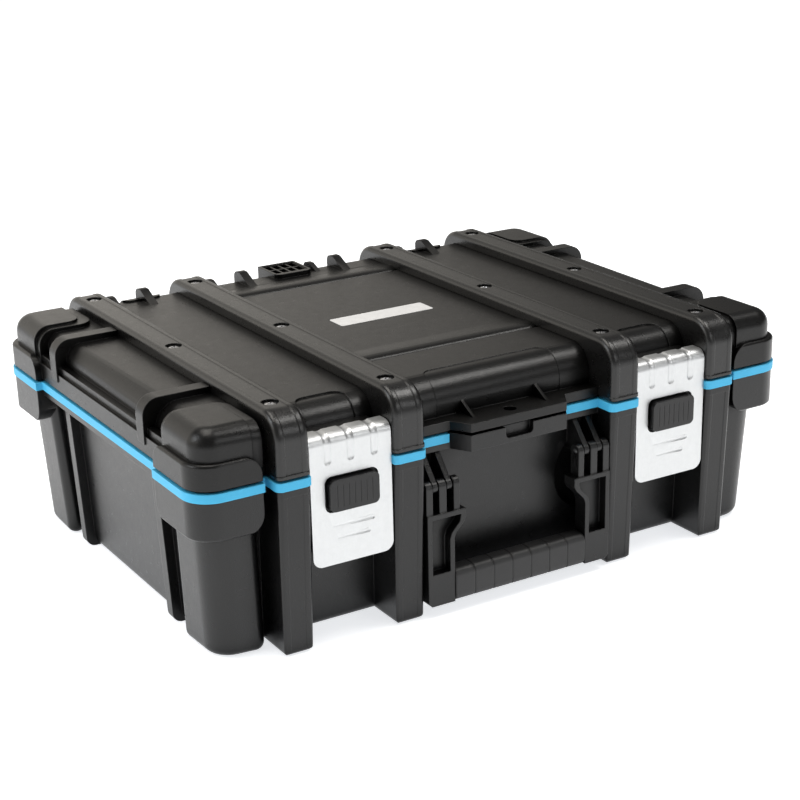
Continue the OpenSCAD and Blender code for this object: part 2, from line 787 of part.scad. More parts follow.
// Side view of a rear fin, from the panel over the edge down to the lip
module fin_side(y0, y1, top) {
    r = 6;
    polygon([[y0, lid_top_z - 2], [y1 - r - 6, top], [y1 - r, top], [y1, top - r],
             [y1, lid_lip_z + 12], [lid_rear_y - 2, lid_lip_z + 6], [y0, lid_top_z - 6]]);
    translate([y1 - r, top - r]) circle(r, $fn = round_fn);
}

// Tall and small fins along the rear edge
module rear_fins() {
    tall_y0 = 150;
    tall_y1 = 187;
    small_y0 = 162;
    small_y1 = 192;
    for (x = fin_xs) translate([x, 0, 0]) along_x(fin_t) fin_side(tall_y0, tall_y1, case_h - 1.5);
    for (x = small_fin_xs) translate([x, 0, 0]) along_x(small_fin_t)
        fin_side(small_y0, small_y1, dome_top_z);
}

// Block with square pockets at the middle of the rear edge
module rear_grid() {
    w = 38;
    x0 = -21;
    y0 = 163;
    y1 = 202;
    top = dome_top_z - 1;
    drop = 16;
    rim = 3.4;
    front_rim = 4;
    corner = 6;
    cols = 4;
    rows = 2;
    web = 1.8;
    pitch_x = (w - 2 * rim + web) / cols;
    pitch_y = (y1 - y0 - 2 * rim - front_rim + web) / rows;
    difference() {
        translate([x0 + w / 2, 0, top - drop]) linear_extrude(drop) {
            translate([-w / 2, y0 + corner]) square([w, y1 - y0 - corner]);
            translate([-w / 2 + corner, y0]) square([w - 2 * corner, 2 * corner]);
            for (s = [-1, 1]) translate([s * (w / 2 - corner), y0 + corner]) circle(corner, $fn = round_fn);
        }
        for (i = [0 : cols - 1], j = [0 : rows - 1])
            translate([x0 + rim + i * pitch_x, y0 + rim + front_rim + j * pitch_y, top - 4])
                cube([pitch_x - web, pitch_y - web, 5]);
        translate([x0 + rim - 1, y0 + front_rim + 1, top - 1])
            cube([w - 2 * (rim - 1), y1 - y0 - front_rim - rim, 2]);
    }
}

// Side view of the rounded front edge behind a cross groove
groove_edge = [[groove_run, -groove_drop], [groove_run + 0.6, -0.9], [groove_run + 1.8, -0.1],
               [groove_run + 3.6, 0.6], [groove_run + 6, 1.05], [groove_run + 9, 1.25]];

// Cross groove in the lid panel, with a rounded edge behind it
module panel_groove(y) {
    translate([0, y, lid_top_z]) along_x(2 * inner_rib_x - rib_w + 2)
        polygon(concat([[0, 5], [0, -groove_drop]], groove_edge, [[groove_run + 9, 5]]));
}

// Side view of the broad low ridge behind a cross groove
ridge_side = [[1, -1], [1, 1.24], [9, 1.24], [13, 1.15], [18, 0.8], [24, 0.3], [29, 0], [29, -1]];

// Broad low ridge behind a cross groove
module panel_ridge(y) {
    translate([0, y + groove_run, lid_top_z]) along_x(2 * inner_rib_x - rib_w - 2 * bar_fit)
        polygon(ridge_side);
}

// Shelf in a latch bay that the curled lip of the latch plate lies over
module keeper() {
    y0 = plate_y + curl_r + keeper_fit;
    lip_top = lid_lip_z + lid_lip_h;
    back = front_y + lid_wall_set + 1.5;
    translate([-bay_x, 0, 0]) along_x(latch_w - 10)
        polygon([[y0, keeper_top_z], [y0, keeper_top_z - 4], [front_y + flange_set + 1, lip_top - 1],
                 [back, lip_top - 1], [back, keeper_top_z]]);
}

// Upper half of the padlock tab with its two gussets
module lid_lock_tab() {
    z0 = lid_lip_z + 1;
    top = lid_lip_z + lid_lip_h;
    gusset_t = 2.6;
    gusset_h = 10;
    back = front_y + lid_wall_set + 1;
    translate([0, 0, z0]) linear_extrude(top - z0) tab_plan(back);
    for (s = [-1, 1]) translate([s * (tab_half - 10.4), 0, 0]) along_x(gusset_t)
        polygon([[front_y + lock_set - 2.5, top - eps], [back, top - eps], [back, top + gusset_h]]);
}

// Lips of the lid: low at front and rear, high at the sides
module lid_lips() {
    difference() {
        union() {
            translate([0, 0, lid_lip_z]) linear_extrude(lid_lip_h)
                flange_plan(0);
            for (p = [[side_lip_h, 0], [side_lip_h + side_ridge_h, -side_ridge_set]])
                translate([0, 0, lid_lip_z]) linear_extrude(p[0]) difference() {
                    intersection() {
                        square([flange_w, 2 * guard_side_y + 20], center = true);
                        flange_plan(p[1]);
                    }
                    square([2 * outer_rib_x + rib_w + 2 * bar_fit, far], center = true);
                }
        }
        for (x = rib_xs, y = [lid_front_y - far, lid_rear_y])
            translate([x - rib_w / 2 - bar_fit, y, lid_lip_z - eps])
                cube([rib_w + 2 * bar_fit, far, lid_lip_h + 1]);
    }
}

// Bosses under the bar screws
module screw_bosses() {
    for (x = rib_xs) {
        for (y = [0, screw_end_y]) translate([x, y, boss_z0])
            cylinder(d = boss_d, h = lid_top_z - boss_z0 - 1, $fn = round_fn);
        intersection() {
            translate([x, -screw_end_y, boss_z0]) cylinder(d = boss_d, h = boss_h, $fn = round_fn);
            translate([-far / 2, lid_front_y + 1, 0]) cube([far, far, far]);
        }
    }
}

module lid_shell() {
    color(black) difference() {
        union() {
            difference() {
                union() {
                    lid_body();
                    lid_lips();
                    translate([0, 0, rim_z0]) linear_extrude(rim_h + eps) plan_outline(-rim_set);
                    intersection() {
                        both_sides() both_ends() guard_block(lid_lip_z + guard_h, lid_lip_z);
                        guard_envelope(lid_lip_z, lid_lip_z + guard_h);
                    }
                    intersection() {
                        dome_body(0);
                        linear_extrude(case_h) dome_plan();
                    }
                    intersection() {
                        dome_body(dome_step);
                        linear_extrude(case_h) dome_foot_plan();
                    }
                    for (y = panel_grooves) panel_ridge(y);
                    rear_fins();
                    rear_grid();
                    lid_lock_tab();
                    both_sides() keeper();
                    both_sides() translate([bay_x, 0, 0]) knuckles(1, 2, true);
                }
                domed_box(lid_hx - wall_t, lid_front_y + wall_t, lid_rear_y - wall_t,
                          lid_corner_r - wall_t, rim_z0 - 1, lid_top_z - wall_t,
                          lid_edge_r - wall_t, lid_rear_edge_r - wall_t);
            }
            screw_bosses();
        }
        for (y = panel_grooves) panel_groove(y);
        translate([0, label_y, lid_top_z - label_sink]) linear_extrude(10)
            round_rect(label_w + 0.6, label_d + 0.6, 2.3);
        translate([0, front_y + lock_set, lid_lip_z - 1]) cylinder(d = lock_d, h = 12, $fn = round_fn);
        for (x = rib_xs, y = screw_ys) translate([x, y, boss_z0 - 1])
            cylinder(d = screw_d + 2 * pin_fit, h = far, $fn = round_fn);
        both_sides() translate([bay_x, hinge_y, parting_z]) x_bore(hinge_pin_d + 2 * pin_fit, far / 5);
    }
}

// Outer form of a lid bar: two legs, two bends and the run over the lid
module bar_form() {
    leg_z = lid_lip_z + bar_fit;
    bend_z = case_h - bar_bend_r;
    both_ends() {
        translate([0, front_y, leg_z]) linear_extrude(bend_z - leg_z) rib_section(lid_wall_set + 14);
        translate([0, front_y - bar_lip_proud, leg_z]) linear_extrude(bar_lip_h) bar_lip_section();
        translate([0, front_y + bar_bend_r, bend_z]) rotate([90, 0, 90]) rotate([0, 0, 90])
            rotate_extrude(angle = 90, $fn = 2 * round_fn)
                translate([bar_bend_r, 0]) rotate(90) rib_section(bar_bend_r);
    }
    translate([0, 0, case_h]) rotate([-90, 0, 0])
        translate([0, 0, front_y + bar_bend_r]) linear_extrude(body_d - 2 * bar_bend_r)
            rib_section(bar_bend_r);
}

// Plan of the small lip at the foot of a bar
module bar_lip_section() {
    r = rib_edge_r;
    w = rib_w + 0.4;
    translate([-w / 2, r]) square([w, 6]);
    translate([-w / 2 + r, 0]) square([w - 2 * r, r + 6]);
    for (s = [-1, 1]) translate([s * (w / 2 - r), r]) circle(r, $fn = round_fn);
}

// Inside of a hollow bar, seen from the side
module bar_core() {
    r = bar_bend_r - bar_wall;
    hy = body_d / 2 - bar_wall;
    top = case_h - bar_wall;
    translate([-hy, 0]) square([2 * hy, top - r]);
    translate([-hy + r, 0]) square([2 * (hy - r), top]);
    for (s = [-1, 1]) translate([s * (hy - r), top - r]) circle(r, $fn = round_fn);
}

// Bar screwed over the lid, open underneath, with posts for its three screws
module lid_bar(x) {
    color(soft_black) translate([x, 0, 0]) difference() {
        union() {
            difference() {
                bar_form();
                along_x(rib_w - 2 * bar_wall) bar_core();
            }
            for (y = screw_ys) translate([0, y, 0]) {
                translate([0, 0, boss_z0]) cylinder(d = boss_d, h = case_h - 1 - boss_z0, $fn = round_fn);
                translate([0, 0, case_h - recess_h - bar_wall])
                    cylinder(d = recess_d + bar_wall, h = recess_h + bar_wall - 1, $fn = round_fn);
            }
        }
        along_x(rib_w + 2) lid_profile(bar_fit);
        for (y = screw_ys) {
            translate([0, y, case_h - recess_h]) cylinder(d = recess_d, h = 10, $fn = round_fn);
            translate([0, y, boss_z0]) cylinder(d = screw_d + 0.4, h = far, $fn = round_fn);
        }
    }
}

// Twelve recessed screws with cross slots
module bar_screws() {
    slot_w = 1.1;
    slot_l = 5;
    color(steel) for (x = rib_xs, y = screw_ys) translate([x, y, case_h - recess_h]) difference() {
        union() {
            cylinder(d = screw_head_d, h = 1.6, $fn = round_fn);
            translate([0, 0, -screw_len]) cylinder(d = screw_d, h = screw_len + eps, $fn = round_fn);
        }
        for (a = [0, 90]) rotate(a)
            translate([-slot_l / 2, -slot_w / 2, 0.6]) cube([slot_l, slot_w, 2]);
    }
}

// Bare metal plate in the middle of the lid
module label_plate() {
    color(bare_alu) translate([0, label_y, lid_top_z - label_sink]) linear_extrude(1)
        round_rect(label_w, label_d, 2);
}

// ---------- hinge pins ----------

module hinge_pin(side) {
    color(steel) translate([side * bay_x, hinge_y, parting_z]) pin(hinge_pin_d, hinge_w);
}

// ---------- handle ----------

// Front view of the left arm
module arm_outline() {
    x0 = -handle_hw;
    x1 = -grip_w / 2;
    z1 = handle_pivot_z - arm_fork_in;
    polygon([[x0, handle_z0 + 3], [x0 + 3, handle_z0], [x1, handle_z0], [x1, z1 - arm_step_z],
             [x1 + 1.5, z1 - arm_step_z + 5],
             [x1 + 5, z1 - 15], [x1 + 9, z1 - 11], [x1 + 11, z1 - 7], [x1 + 11, z1], [x0, z1]]);
}

// Pocket in the front face of the left arm
module arm_pocket() {
    x0 = -handle_hw + 4;
    x1 = -grip_w / 2 - 4;
    z0 = handle_z0 + grip_h;
    z1 = handle_pivot_z - pocket_step_z;
    d = pocket_drops;
    r = pocket_reaches;
    polygon([[x0, z0], [x1, z0], [x1, z1 - d[0]], [x1 + r[0], z1 - d[1]], [x1 + r[1], z1 - d[2]],
             [x1 + r[2], z1 - d[3]], [x1 + r[3], z1], [x0, z1]]);
}

// Bar inside the grip
module grip_core() {
    translate([0, grip_y, grip_z]) cube([grip_w + 2, core_d, grip_h - core_in], center = true);
}

module handle_frame() {
    color(black) difference() {
        union() {
            both_sides() {
                along_y(handle_y, handle_y + arm_d) arm_outline();
                for (p = prongs) translate([-handle_hw + p[0] + p[1] / 2, 0, 0]) along_x(p[1]) union() {
                    translate([pivot_y, handle_pivot_z]) circle(prong_r, $fn = round_fn);
                    translate([pivot_y - prong_r, handle_pivot_z - prong_drop])
                        square([2 * prong_r, prong_drop]);
                }
            }
            grip_core();
        }
        both_sides() {
            along_y(handle_y - 1, handle_y + 8) arm_pocket();
            translate([-handle_pin_x, pivot_y, handle_pivot_z])
                x_bore(handle_pin_d + 2 * pin_fit, handle_bore_len);
        }
    }
}

// Soft ribbed sleeve over the lower bar
module handle_grip() {
    seg = (grip_w - 2 * grip_end_gap - (grip_parts - 1) * groove_w) / grip_parts;
    module section(g) {
        translate([grip_y, grip_z]) round_rect(grip_t - 2 * g, grip_h - 2 * g, 6);
    }
    color(soft_black) difference() {
        union() {
            for (i = [0 : grip_parts - 1])
                translate([-grip_w / 2 + grip_end_gap + seg / 2 + i * (seg + groove_w), 0, 0])
                    along_x(seg) section(0);
            along_x(grip_w - 2 * grip_end_gap - 2) section(groove_d);
        }
        grip_core();
    }
}

module handle_pin(side) {
    color(steel) translate([side * handle_pin_x, pivot_y, handle_pivot_z]) pin(handle_pin_d, handle_pin_len);
}

// ---------- latches ----------

// Side view of the plate: upright, curl and lip
module plate_side() {
    cy = plate_y + curl_r;
    cz = plate_top_z - curl_r;
    translate([plate_y, plate_z0]) square([plate_t, cz - plate_z0]);
    intersection() {
        difference() {
            translate([cy, cz]) circle(curl_r, $fn = round_fn);
            translate([cy, cz]) circle(curl_r - plate_t, $fn = round_fn);
        }
        translate([plate_y, cz]) square([curl_r, curl_r]);
    }
    translate([cy, plate_top_z - plate_t]) square([curl_reach - curl_r, plate_t]);
}

// Cutter of a groove pressed into the plate, from press_run under the curl over to the lip
module plate_groove(x) {
    r = (press_w * press_w / 4 + press_d * press_d) / (2 * press_d);
    out = r - press_d;
    cy = plate_y + curl_r;
    cz = plate_top_z - curl_r;
    translate([x, 0, 0]) {
        translate([0, plate_y - out, cz - press_run]) cylinder(r = r, h = press_run, $fn = round_fn);
        translate([0, plate_y - out, cz - press_run]) sphere(r, $fn = round_fn);
        translate([0, cy, cz]) rotate([90, 0, 90]) rotate([0, 0, 90])
            rotate_extrude(angle = 90, $fn = round_fn) translate([curl_r + out, 0]) circle(r, $fn = round_fn);
        translate([0, cy, plate_top_z + out]) rotate([-90, 0, 0])
            cylinder(r = r, h = curl_reach, $fn = round_fn);
    }
}

// Cutter of a short level groove that fades out to the left
module level_groove(z, len) {
    r = 3;
    tilt = 1.2;
    translate([0, plate_y - r + press_d / 2, z]) rotate([0, 0, tilt]) {
        translate([-len / 2, 0, 0]) rotate([0, 90, 0]) cylinder(r = r, h = len, $fn = round_fn);
        translate([len / 2, 0, 0]) sphere(r, $fn = round_fn);
    }
}

module latch_plate(side) {
    r = 8;
    color(bare_alu) translate([side * bay_x, 0, 0]) difference() {
        intersection() {
            along_x(latch_w) plate_side();
            along_y(front_y - 5, 0) union() {
                translate([-latch_w / 2, plate_z0 + r]) square([latch_w, far]);
                translate([-latch_w / 2 + r, plate_z0]) square([latch_w - 2 * r, 2 * r]);
                for (s = [-1, 1])
                    translate([s * (latch_w / 2 - r), plate_z0 + r]) circle(r, $fn = round_fn);
            }
        }
        along_y(front_y - 5, plate_y + 3) translate([0, button_z]) round_rect(window_w, window_h, 6);
        for (u = [-0.28, 0, 0.29]) plate_groove(u * latch_w);
        for (b = press_bars) level_groove(b[0], b[1]);
    }
}

// Plastic carrier behind the plate: holds the button and turns on the latch pin
module latch_carrier(side) {
    y0 = plate_y + plate_t;
    w = latch_w - carrier_side_gap;
    z0 = latch_pivot_z + carrier_foot;
    z1 = band_z1 + carrier_over;
    barrel = 2 * lug_x - lug_t - barrel_gap;
    pocket_w = window_w + pocket_extra;
    pocket_h = window_h + pocket_extra;
    color(soft_black) translate([side * bay_x, 0, 0]) difference() {
        union() {
            translate([-w / 2, y0, z0]) cube([w, carrier_t, z1 - z0]);
            translate([-barrel / 2, y0, latch_pivot_z]) cube([barrel, carrier_t - 2, barrel_web]);
            along_x(barrel) translate([latch_pivot_y, latch_pivot_z]) circle(barrel_r, $fn = round_fn);
        }
        along_y(y0 - 1, y0 + carrier_t - carrier_skin) translate([0, button_z])
            round_rect(pocket_w, pocket_h, 3);
        translate([0, latch_pivot_y, latch_pivot_z]) x_bore(latch_pin_d + 2 * pin_fit, far);
    }
}

module latch_pin(side) {
    color(steel) translate([side * bay_x, latch_pivot_y, latch_pivot_z]) pin(latch_pin_d, latch_pin_len);
}

// Push button: ribbed face in the plate window, flange behind the plate
module push_button(side) {
    y0 = plate_y - button_proud;
    back = plate_y + plate_t + button_play;
    ribs = 7;
    slot_w = 0.6;
    slot_d = 0.2;
    color(soft_black) translate([side * bay_x, 0, 0]) difference() {
        union() {
            along_y(y0, back + 1) translate([0, button_z]) round_rect(button_w, button_h, 4.5);
            along_y(back, back + button_flange_t) translate([0, button_z])
                round_rect(window_w + pocket_extra - 1, window_h + pocket_extra - 1, 3);
        }
        for (i = [0 : ribs - 1])
            translate([(i - (ribs - 1) / 2) * 5 - slot_w / 2, y0 - 1, button_z - button_h / 2 + 4])
                cube([slot_w, 1 + slot_d, button_h - 8]);
    }
}

// Coil spring between the button and the carrier
module button_spring(side) {
    wire_r = 0.3;
    coil_r = 5;
    turns = 2;
    rings = 40;
    corners = 6;
    gap = 0.05;
    flange_back = button_play + button_flange_t;
    y0 = plate_y + plate_t + flange_back + wire_r + gap;
    len = carrier_t - carrier_skin - flange_back - 2 * (wire_r + gap);
    points = [for (i = [0 : rings], j = [0 : corners - 1])
        let (turn = 360 * turns * i / rings, a = 360 * j / corners, r = coil_r + wire_r * cos(a))
        [r * cos(turn), len * i / rings + wire_r * sin(a), r * sin(turn)]];
    ends = [[for (j = [corners - 1 : -1 : 0]) j], [for (j = [0 : corners - 1]) rings * corners + j]];
    sides = [for (i = [0 : rings - 1], j = [0 : corners - 1])
        let (k = (j + 1) % corners, a = i * corners, b = a + corners)
        [a + j, a + k, b + k, b + j]];
    color(steel) translate([side * bay_x, y0, button_z]) polyhedron(points, concat(ends, sides));
}

base_shell();
seal_band();
lid_shell();
lid_bar(rib_xs[0]);  // lid_bar_outer_left
lid_bar(rib_xs[1]);  // lid_bar_inner_left
lid_bar(rib_xs[2]);  // lid_bar_inner_right
lid_bar(rib_xs[3]);  // lid_bar_outer_right
bar_screws();
label_plate();
hinge_pin(-1);  // hinge_pin_left
hinge_pin(1);  // hinge_pin_right
handle_frame();
handle_grip();
handle_pin(-1);  // handle_pin_left
handle_pin(1);  // handle_pin_right
latch_plate(-1);  // latch_plate_left
latch_carrier(-1);  // latch_carrier_left
latch_pin(-1);  // latch_pin_left
push_button(-1);  // button_left
button_spring(-1);  // button_spring_left
latch_plate(1);  // latch_plate_right
latch_carrier(1);  // latch_carrier_right
latch_pin(1);  // latch_pin_right
push_button(1);  // button_right
button_spring(1);  // button_spring_right
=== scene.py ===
import math
import bpy
import bmesh
from mathutils import Matrix, Vector


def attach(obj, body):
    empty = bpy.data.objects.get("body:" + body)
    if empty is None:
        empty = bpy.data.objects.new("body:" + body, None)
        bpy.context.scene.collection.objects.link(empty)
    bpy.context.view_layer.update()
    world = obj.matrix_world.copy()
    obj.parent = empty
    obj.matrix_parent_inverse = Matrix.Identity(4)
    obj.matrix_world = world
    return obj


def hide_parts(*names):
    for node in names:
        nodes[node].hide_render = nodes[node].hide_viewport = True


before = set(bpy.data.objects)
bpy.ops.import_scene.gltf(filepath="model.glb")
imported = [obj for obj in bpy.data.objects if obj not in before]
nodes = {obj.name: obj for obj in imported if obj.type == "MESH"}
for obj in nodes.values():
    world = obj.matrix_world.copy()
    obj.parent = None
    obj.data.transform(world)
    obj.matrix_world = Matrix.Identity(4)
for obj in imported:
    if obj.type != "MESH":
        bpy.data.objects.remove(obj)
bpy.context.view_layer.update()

mm = 0.001  # the sizes of the case are written in millimetres
print("case frame loaded:", len(nodes), "solids")


# materials
def newMaterial(name):
    material = bpy.data.materials.new(name)
    material.use_nodes = True
    tree = material.node_tree
    tree.nodes.clear()
    shader = tree.nodes.new("ShaderNodeBsdfPrincipled")
    output = tree.nodes.new("ShaderNodeOutputMaterial")
    tree.links.new(shader.outputs["BSDF"], output.inputs["Surface"])
    coords = tree.nodes.new("ShaderNodeTexCoord")
    return material, tree, shader, coords.outputs["Object"]


def noise(tree, coords, scale, detail=2.0, rough=0.5, stretch=None):
    if stretch:
        mapping = tree.nodes.new("ShaderNodeMapping")
        mapping.inputs["Scale"].default_value = stretch
        tree.links.new(coords, mapping.inputs["Vector"])
        coords = mapping.outputs["Vector"]
    node = tree.nodes.new("ShaderNodeTexNoise")
    node.inputs["Scale"].default_value = scale
    node.inputs["Detail"].default_value = detail
    node.inputs["Roughness"].default_value = rough
    tree.links.new(coords, node.inputs["Vector"])
    return node.outputs["Fac"]


def ramp(tree, value, band, first, second):
    node = tree.nodes.new("ShaderNodeValToRGB")
    for element, position, tone in zip(node.color_ramp.elements, band, (first, second)):
        element.position = position
        element.color = (*tone, 1)
    tree.links.new(value, node.inputs["Fac"])
    return node.outputs["Color"]


def mixColours(tree, share, first, second, blend="MIX"):
    # the colour sockets of the Mix node have no names of their own, so they go by number
    node = tree.nodes.new("ShaderNodeMix")
    node.data_type = "RGBA"
    node.blend_type = blend
    for socket, value in ((node.inputs["Factor"], share), (node.inputs[6], first), (node.inputs[7], second)):
        if isinstance(value, bpy.types.NodeSocket):
            tree.links.new(value, socket)
        else:
            socket.default_value = (*value, 1) if isinstance(value, tuple) else value
    return node.outputs[2]


def spread(tree, value, low, high, fromLow=0.3, fromHigh=0.7):
    node = tree.nodes.new("ShaderNodeMapRange")
    node.inputs["From Min"].default_value = fromLow
    node.inputs["From Max"].default_value = fromHigh
    node.inputs["To Min"].default_value = low
    node.inputs["To Max"].default_value = high
    tree.links.new(value, node.inputs["Value"])
    return node.outputs["Result"]


def maths(tree, operation, first, second=0.0):
    # a Math node, which shader and geometry trees share
    node = tree.nodes.new("ShaderNodeMath")
    node.operation = operation
    for socket, value in zip(node.inputs, (first, second)):
        if isinstance(value, bpy.types.NodeSocket):
            tree.links.new(value, socket)
        else:
            socket.default_value = value
    return node.outputs["Value"]


def bump(tree, shader, height, strength, depth, before=None):
    node = tree.nodes.new("ShaderNodeBump")
    node.inputs["Strength"].default_value = strength
    node.inputs["Distance"].default_value = depth * mm
    tree.links.new(height, node.inputs["Height"])
    if before:
        tree.links.new(before, node.inputs["Normal"])
    tree.links.new(node.outputs["Normal"], shader.inputs["Normal"])
    return node.outputs["Normal"]


edgeSense = {"bevelSamples": 6, "depthSamples": 4, "depthReach": 2.0, "outerBand": (0.35, 0.75),
             "turnBand": (0.86, 0.995), "gapShadeSamples": 12, "gapShadeBand": (0.35, 0.80)}


def roundedEdges(tree, radius):
    # the normal eased over small edges, and a mask of the outer edges alone
    eased = tree.nodes.new("ShaderNodeBevel")
    eased.samples = edgeSense["bevelSamples"]
    eased.inputs["Radius"].default_value = radius * mm
    geometry = tree.nodes.new("ShaderNodeNewGeometry")
    facing = tree.nodes.new("ShaderNodeVectorMath")
    facing.operation = "DOT_PRODUCT"
    tree.links.new(eased.outputs["Normal"], facing.inputs[0])
    tree.links.new(geometry.outputs["Normal"], facing.inputs[1])
    depth = tree.nodes.new("ShaderNodeAmbientOcclusion")
    depth.samples = edgeSense["depthSamples"]
    depth.inside = True
    depth.only_local = True
    depth.inputs["Distance"].default_value = edgeSense["depthReach"] * radius * mm
    outer = spread(tree, depth.outputs["AO"], 1.0, 0.0, *edgeSense["outerBand"])
    turned = spread(tree, facing.outputs["Value"], 1.0, 0.0, *edgeSense["turnBand"])
    return eased.outputs["Normal"], maths(tree, "MULTIPLY", outer, turned)


def paintedGapShade(tree, reach, least):
    # painted shade: a factor that falls from 1 in the open to the least value deep in corners and gaps
    depth = tree.nodes.new("ShaderNodeAmbientOcclusion")
    depth.samples = edgeSense["gapShadeSamples"]
    depth.inputs["Distance"].default_value = reach * mm
    return spread(tree, depth.outputs["AO"], least, 1.0, *edgeSense["gapShadeBand"])


def mouldedPlastic(name, look):
    # moulded polypropylene: fine spark grain, faint clouds in tone, edges polished by handling and lightened
    # as a painted highlight, painted shade in corners and gaps
    material, tree, shader, coords = newMaterial(name)
    clouds = noise(tree, coords, *look["clouds"])
    grain = noise(tree, coords, *look["grain"])
    dust = noise(tree, coords, *look["dust"])
    body = ramp(tree, clouds, look["cloudBand"], look["dark"], look["light"])
    speck = spread(tree, grain, 0.0, look["speckle"], *look["speckBand"])
    body = mixColours(tree, speck, body, look["speckAndEdgeHighlight"])
    easedNormal, edges = roundedEdges(tree, look["edgeRadius"])
    # wear and painted highlight: a patchy mask of the outer edges, which lightens their colour towards the
    # pale tone and polishes their roughness
    wearAndEdgeHighlight = maths(tree, "MULTIPLY", edges, spread(tree, dust, 1.0 - look["patchy"], 1.0))
    colour = mixColours(tree, maths(tree, "MULTIPLY", wearAndEdgeHighlight, look["edgeHighlightShare"]), body, look["speckAndEdgeHighlight"])
    # painted shade: colour and gloss are darkened in corners and gaps
    gapShadeShare = paintedGapShade(tree, look["gapShadeReach"], look["gapShadeTone"])
    colour = mixColours(tree, 1.0, colour, gapShadeShare, "MULTIPLY")
    tree.links.new(colour, shader.inputs["Base Color"])
    rough = spread(tree, dust, look["rough"] - look["roughSwing"], look["rough"] + look["roughSwing"])
    polished = maths(tree, "SUBTRACT", rough, maths(tree, "MULTIPLY", wearAndEdgeHighlight, look["polish"]))
    tree.links.new(polished, shader.inputs["Roughness"])
    shader.inputs["IOR"].default_value = look["ior"]
    gloss = shader.inputs["Specular IOR Level"]
    gloss.default_value = look["shine"]
    tree.links.new(maths(tree, "MULTIPLY", gapShadeShare, look["shine"]), gloss)
    waves = noise(tree, coords, *look["waves"])
    wavy = bump(tree, shader, waves, look["waveStrength"], look["waveDepth"], easedNormal)
    bump(tree, shader, grain, look["grainStrength"], look["grainDepth"], wavy)
    return material


# clouds, grain, dust and waves give each noise its scale, detail and roughness
shellLook = {
    # the pale tone serves both the grain's specks and the painted highlight on the edges
    "dark": (0.0030, 0.0030, 0.0033), "light": (0.0052, 0.0052, 0.0055), "speckAndEdgeHighlight": (0.060, 0.060, 0.061),
    "clouds": (9.0, 4.0, 0.6), "cloudBand": (0.3, 0.7), "dust": (160.0, 5.0, 0.7),
    "grain": (1000.0, 3.0, 0.55), "speckle": 0.02, "speckBand": (0.4, 0.75),
    "grainStrength": 0.80, "grainDepth": 0.2,
    "waves": (14.0, 1.0, 0.4), "waveStrength": 0.05, "waveDepth": 2.0,
    "rough": 0.30, "roughSwing": 0.035, "polish": 0.08, "shine": 0.42, "ior": 1.5,
    "edgeRadius": 1.0, "edgeHighlightShare": 0.8, "patchy": 0.5, "gapShadeReach": 24.0, "gapShadeTone": 0.42,
}
# the lid's tones are a darker, warmer copy of the shell plastic's: painted dim, warm top light
lidLook = dict(shellLook, dark=(0.0020, 0.0019, 0.0018), light=(0.0038, 0.0036, 0.0033), shine=0.33,
               grainStrength=0.50, gapShadeTone=0.20)
# the bars' tones are lighter than the lid's and tinted warm: painted light where they face the floor
barLook = dict(shellLook, dark=(0.0032, 0.0031, 0.0030), light=(0.0052, 0.0050, 0.0048), rough=0.29,
               shine=0.52, grain=(1100.0, 3.0, 0.55), grainStrength=0.40, edgeHighlightShare=0.5, patchy=0.2,
               gapShadeReach=8.0, gapShadeTone=0.7)
buttonLook = dict(shellLook, dark=(0.0045, 0.0045, 0.0050), light=(0.0065, 0.0065, 0.0072), rough=0.34,
                  grain=(1400.0, 3.0, 0.55))
gripLook = dict(shellLook, dark=(0.0160, 0.0160, 0.0165), light=(0.0210, 0.0210, 0.0215), rough=0.46,
                shine=0.45, grain=(1300.0, 3.0, 0.55), grainStrength=0.55, polish=0.04)
shellPlastic = mouldedPlastic("blackShellPlastic", shellLook)
lidPlastic = mouldedPlastic("blackLidPlastic", lidLook)
barPlastic = mouldedPlastic("blackBarPlastic", barLook)
buttonPlastic = mouldedPlastic("blackButtonPlastic", buttonLook)
gripRubber = mouldedPlastic("softGripRubber", gripLook)


def sealRubber(name, look):
    # dyed elastomer with a faint bloom and a mat skin
    material, tree, shader, coords = newMaterial(name)
    clouds = noise(tree, coords, *look["clouds"])
    skin = noise(tree, coords, *look["skin"])
    colour = ramp(tree, clouds, look["cloudBand"], look["deep"], look["pale"])
    bloomed = spread(tree, skin, 0.0, look["bloomShare"], *look["bloomBand"])
    colour = mixColours(tree, bloomed, colour, look["bloom"])
    tree.links.new(colour, shader.inputs["Base Color"])
    tree.links.new(spread(tree, skin, *look["rough"]), shader.inputs["Roughness"])
    shader.inputs["IOR"].default_value = look["ior"]
    shader.inputs["Specular IOR Level"].default_value = look["shine"]
    bump(tree, shader, skin, look["skinStrength"], look["skinDepth"])
    return material


sealLook = {"deep": (0.060, 0.43, 0.70), "pale": (0.075, 0.47, 0.76), "bloom": (0.18, 0.56, 0.84),
            "clouds": (30.0, 4.0, 0.6), "cloudBand": (0.3, 0.7), "bloomShare": 0.12, "bloomBand": (0.5, 0.8),
            "skin": (1200.0, 3.0, 0.6), "skinStrength": 0.3, "skinDepth": 0.2,
            "rough": (0.43, 0.54), "shine": 0.25, "ior": 1.48}
sealBlue = sealRubber("blueSealRubber", sealLook)


